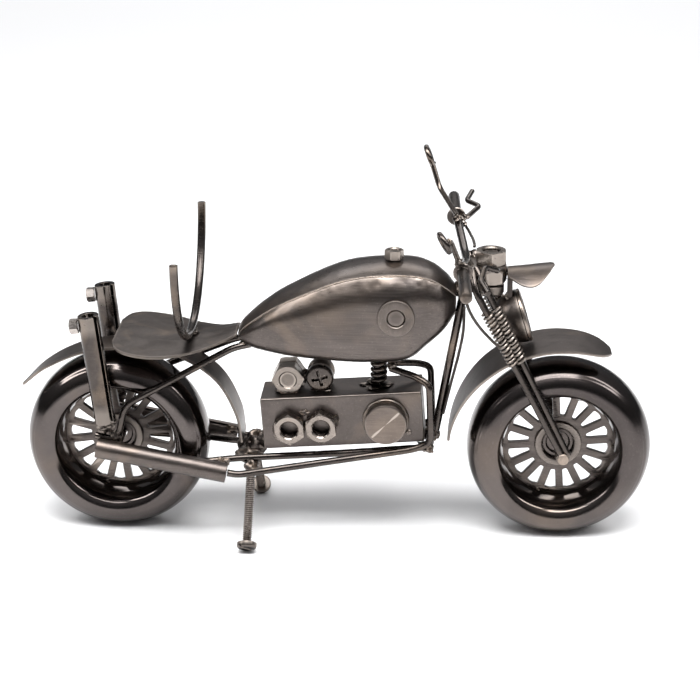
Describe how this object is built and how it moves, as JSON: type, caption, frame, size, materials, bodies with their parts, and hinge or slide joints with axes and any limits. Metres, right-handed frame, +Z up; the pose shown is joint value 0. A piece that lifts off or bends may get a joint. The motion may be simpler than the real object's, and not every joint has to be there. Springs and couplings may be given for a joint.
{
  "type": "welded steel motorcycle bottle holder",
  "caption": "Chopper motorcycle sculpture welded from rod, nuts, bolts and sheet, with a half-round cradle over its seat that holds a bottle.",
  "frame": {"origin": "middle of the footprint, on the floor", "axes": "+X towards the front wheel, +Y to the rider's left, +Z up"},
  "size_m": [0.3788, 0.1982, 0.2216],
  "materials": {
    "gunmetal_plate": "dark plated steel, lightly brushed",
    "dark_steel": "darker plated steel in the recesses",
    "brushed_sheet": "hammered and brushed sheet steel, dark plated",
    "tyre_shell": "smooth satin dark plated pressed steel",
    "worn_nickel": "lighter worn nickel with brushed faces",
    "bright_nut": "bright zinc plated",
    "dark_wire": "thin dark annealed wire"
  },
  "bodies": {
    "frame": {"rear_axle": "dark_steel", "rear_stay_right": "gunmetal_plate", "rear_stay_left": "gunmetal_plate", "shock_tube_right": "gunmetal_plate", "shock_tube_left": "gunmetal_plate", "tail_nut_right": "bright_nut", "tail_nut_left": "bright_nut", "muffler_right": "gunmetal_plate", "muffler_left": "gunmetal_plate", "rear_fender": "brushed_sheet", "seat": "brushed_sheet", "bottle_cradle": "gunmetal_plate", "tank_panel_right": "brushed_sheet", "tank_panel_left": "brushed_sheet", "tank_top": "brushed_sheet", "tank_cap": "dark_steel", "tank_washer_right": "worn_nickel", "tank_washer_left": "worn_nickel", "engine_block": "gunmetal_plate", "face_nuts_right": "worn_nickel", "face_nuts_left": "worn_nickel", "slug_right": "worn_nickel", "slug_left": "worn_nickel", "cylinder_bolt": "dark_steel", "cylinder_screw": "dark_steel", "intake_coil": "dark_steel", "down_tube": "gunmetal_plate", "lower_rail": "dark_steel", "header_pipe_right": "gunmetal_plate", "header_pipe_left": "gunmetal_plate", "stand_bolt_right": "gunmetal_plate", "stand_bolt_left": "gunmetal_plate", "head_lug": "gunmetal_plate", "frame_wire": "dark_wire"},
    "rear_wheel": {"rear_tyre": "tyre_shell", "rear_spoke_disc": "gunmetal_plate", "rear_hub": "dark_steel"},
    "steering": {"front_axle": "dark_steel", "fork_leg_right": "gunmetal_plate", "fork_leg_left": "gunmetal_plate", "fork_springs_right": "worn_nickel", "fork_springs_left": "worn_nickel", "fork_clamp": "gunmetal_plate", "head_nut": "gunmetal_plate", "front_fender": "brushed_sheet", "headlight_bowl": "dark_steel", "headlight_rim": "worn_nickel", "headlight_peak": "brushed_sheet", "handlebar": "gunmetal_plate", "grip_right": "worn_nickel", "grip_left": "worn_nickel", "mirror_right": "gunmetal_plate", "mirror_left": "gunmetal_plate", "lever_right": "gunmetal_plate", "lever_left": "gunmetal_plate", "cable_right": "dark_wire", "cable_left": "dark_wire"},
    "front_wheel": {"front_tyre": "tyre_shell", "front_spoke_disc": "gunmetal_plate", "front_hub": "dark_steel"}
  },
  "joints": [
    {"name": "rear_wheel_spin", "type": "hinge", "parent": "frame", "child": "rear_wheel", "pos_m": [-0.13045, 0.00084, 0.055], "axis": [0, 1, 0], "continuous": true},
    {"name": "steering_turn", "type": "hinge", "parent": "frame", "child": "steering", "pos_m": [0.09155, 0.00084, 0.16], "axis": [0, 0, 1], "range_deg": [-22.6, 17.4]},
    {"name": "front_wheel_spin", "type": "hinge", "parent": "steering", "child": "front_wheel", "pos_m": [0.1345, 0.00279, 0.055], "axis": [-0.0454, 0.999, 0], "continuous": true}
  ]
}
